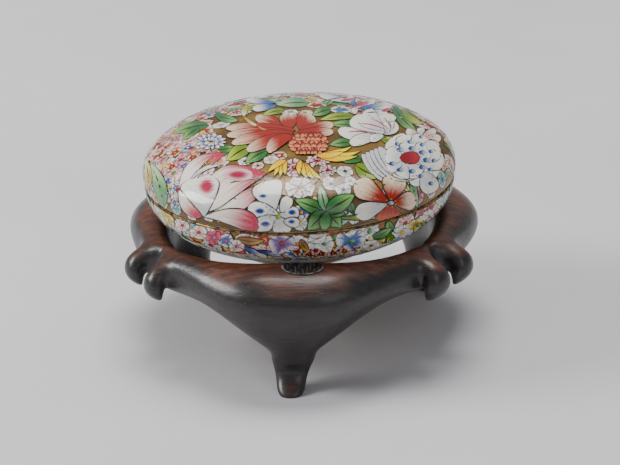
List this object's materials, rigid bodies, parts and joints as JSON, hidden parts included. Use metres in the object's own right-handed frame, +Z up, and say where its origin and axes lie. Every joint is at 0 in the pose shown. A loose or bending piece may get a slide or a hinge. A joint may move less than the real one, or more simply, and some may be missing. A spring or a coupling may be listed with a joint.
{
  "type": "ink pad holder",
  "caption": "Round covered seal-paste box with a lift-off lid and dense painted flowers, resting on a dark carved stand with lobed legs and hooked arm ends.",
  "frame": {"origin": "on the surface the stand rests on, under the middle of the stand's ring", "axes": "+Z up along the stand's axis, front lobe and its leg towards -Y, +X to the right as seen from the front"},
  "size_m": [0.0866, 0.0901, 0.0551],
  "materials": {
    "painted_glaze": "glossy",
    "dark_wood": "satin"
  },
  "bodies": {
    "root": {"lid": "painted_glaze", "base": "painted_glaze", "stand": "dark_wood"}
  },
  "joints": []
}
